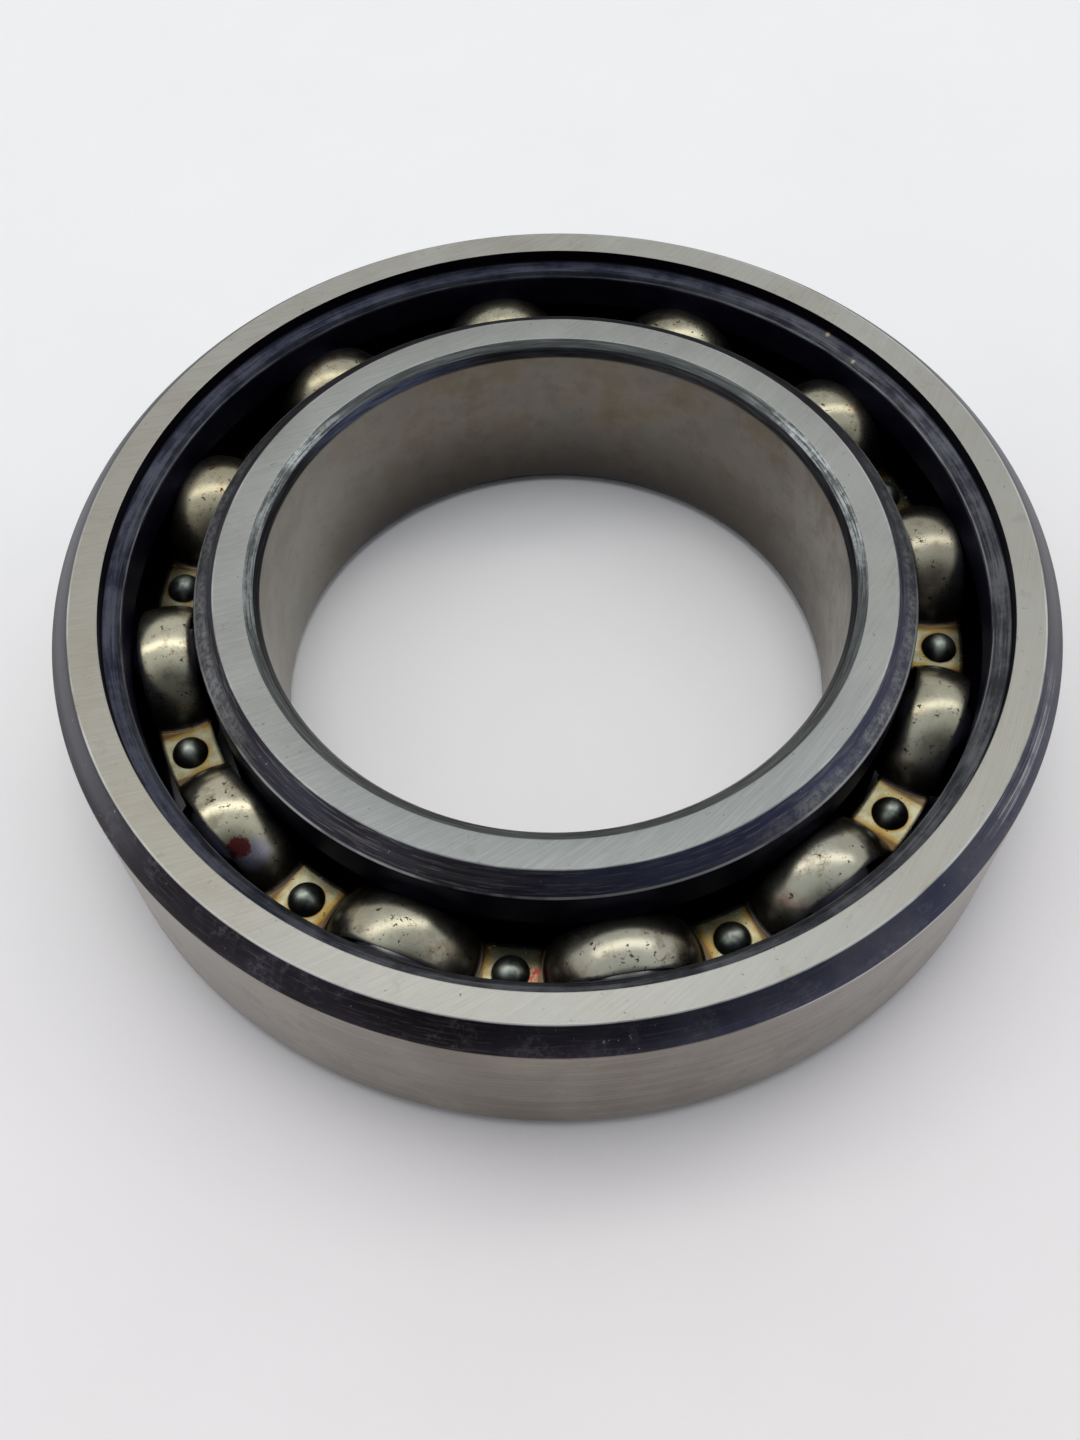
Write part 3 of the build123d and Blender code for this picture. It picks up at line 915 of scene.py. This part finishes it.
steel = (flecks * 0.9).blend(steel, RED_FLECKS)
colour = on_land.blend(steel, land)
colour.link(surface, "Base Color")
roughness = 0.145 + 0.19 * clouds + 0.25 * grit.step(0.64, 0.70) + 0.14 * foot_dirt_and_shade
roughness.link(surface, "Roughness")
dents = 0.5 * blots + 0.4 * grit - grit.step(0.66, 0.72) - 0.5 * cracked
relief(metal, surface, dents, 0.006 * MM)
for ribbon, node in ((cage_upper, "cage_upper"), (cage_lower, "cage_lower")):
    ribbon.data.materials.clear()
    ribbon.data.materials.append(material)
    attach(ribbon, "cage")
    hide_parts(node)

# ---------------------------------------------------------------------------------------------
# Balls: twelve hardened and lapped steel balls, mirror bright under a thin film of old oil.
# ---------------------------------------------------------------------------------------------
BALL_CUTS = 23
BALL_TONES = ((0.40, 0.38, 0.34), (0.56, 0.55, 0.53))

bpy.ops.object.select_all(action="DESELECT")
bpy.ops.mesh.primitive_cube_add(size=2 * BALL, location=(0, 0, 0))
ball = bpy.context.object
edit(ball)
bpy.ops.mesh.select_all(action="SELECT")
bpy.ops.mesh.subdivide(number_cuts=BALL_CUTS)
bpy.ops.transform.tosphere(value=1.0)
bpy.ops.object.mode_set(mode="OBJECT")
swell = BALL / max(vertex.co.length for vertex in ball.data.vertices)
ball.data.transform(Matrix.Scale(swell, 4))
bpy.ops.object.shade_smooth()

material, surface, metal, position = start_steel("ball_steel")
film = noise(metal, position, 500.0, 4.0, 0.6)
streak = noise(metal, position, 2400.0, 3.0, 0.6)
film.step(0.35, 0.7).blend(*BALL_TONES).link(surface, "Base Color")
(0.08 + 0.14 * film + 0.05 * streak).link(surface, "Roughness")
relief(metal, surface, film + 0.3 * streak, 0.001 * MM)
ball.data.materials.append(material)
for i in range(BALLS):
    node = f"ball_{i + 1:02d}"
    one = copy_of(ball, node + "_lapped", at_angle(i * STEP))
    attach(one, node)
    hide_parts(node)
bpy.data.objects.remove(ball)

# ---------------------------------------------------------------------------------------------
# Rivets: soft steel pins, headed on both sides so that they pull the two ribbons together. Old
# oil has dried to a dark varnish on the heads.
# ---------------------------------------------------------------------------------------------
SHANK = 0.7 * MM
HEAD = 1.2 * MM
HEAD_HEIGHT = 0.95 * MM
HEAD_POINTS = 15
RIVET_STEPS = 48
RIVET_TONES = ((0.105, 0.122, 0.110), (0.185, 0.205, 0.180))
RIVET_PAINTED_HIGHLIGHT = (0.370, 0.395, 0.350)
RIVET_RUST = (0.130, 0.060, 0.025)

head_radius = (HEAD**2 + HEAD_HEIGHT**2) / (2 * HEAD_HEIGHT)
head_rim = math.degrees(math.asin((head_radius - HEAD_HEIGHT) / head_radius))
head_centre = (0, SHEET + HEAD_HEIGHT - head_radius)
head = arc(head_centre, head_radius, 90, head_rim, HEAD_POINTS)
head[0] = (0, SHEET + HEAD_HEIGHT)
rivet = lathe("rivet", both_sides(head + [(SHANK, SHEET)]), RIVET_STEPS, closed=False)

material, surface, metal, position = start_steel("rivet_steel")
film = noise(metal, position, 900.0, 4.0, 0.6)
grit = noise(metal, position, 3200.0, 3.0, 0.7)
# Painted highlight: the top of each head is coloured lighter in patches.
crown = abs(split(metal, position)[2]).step(SHEET + 0.25 * MM, SHEET + 0.9 * MM)
tone = film.step(0.35, 0.7).blend(*RIVET_TONES)
tone = (crown * film.step(0.30, 0.60)).blend(tone, RIVET_PAINTED_HIGHLIGHT)
tone = (grit.step(0.64, 0.72) * 0.6).blend(tone, RIVET_RUST)
tone.link(surface, "Base Color")
(0.30 + 0.16 * film).link(surface, "Roughness")
relief(metal, surface, film + 0.5 * grit, 0.008 * MM)
rivet.data.materials.append(material)
for i in range(BALLS):
    node = f"rivet_{i + 1:02d}"
    one = copy_of(rivet, node + "_headed", at_angle((i + 0.5) * STEP))
    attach(one, "cage")
    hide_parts(node)
bpy.data.objects.remove(rivet)
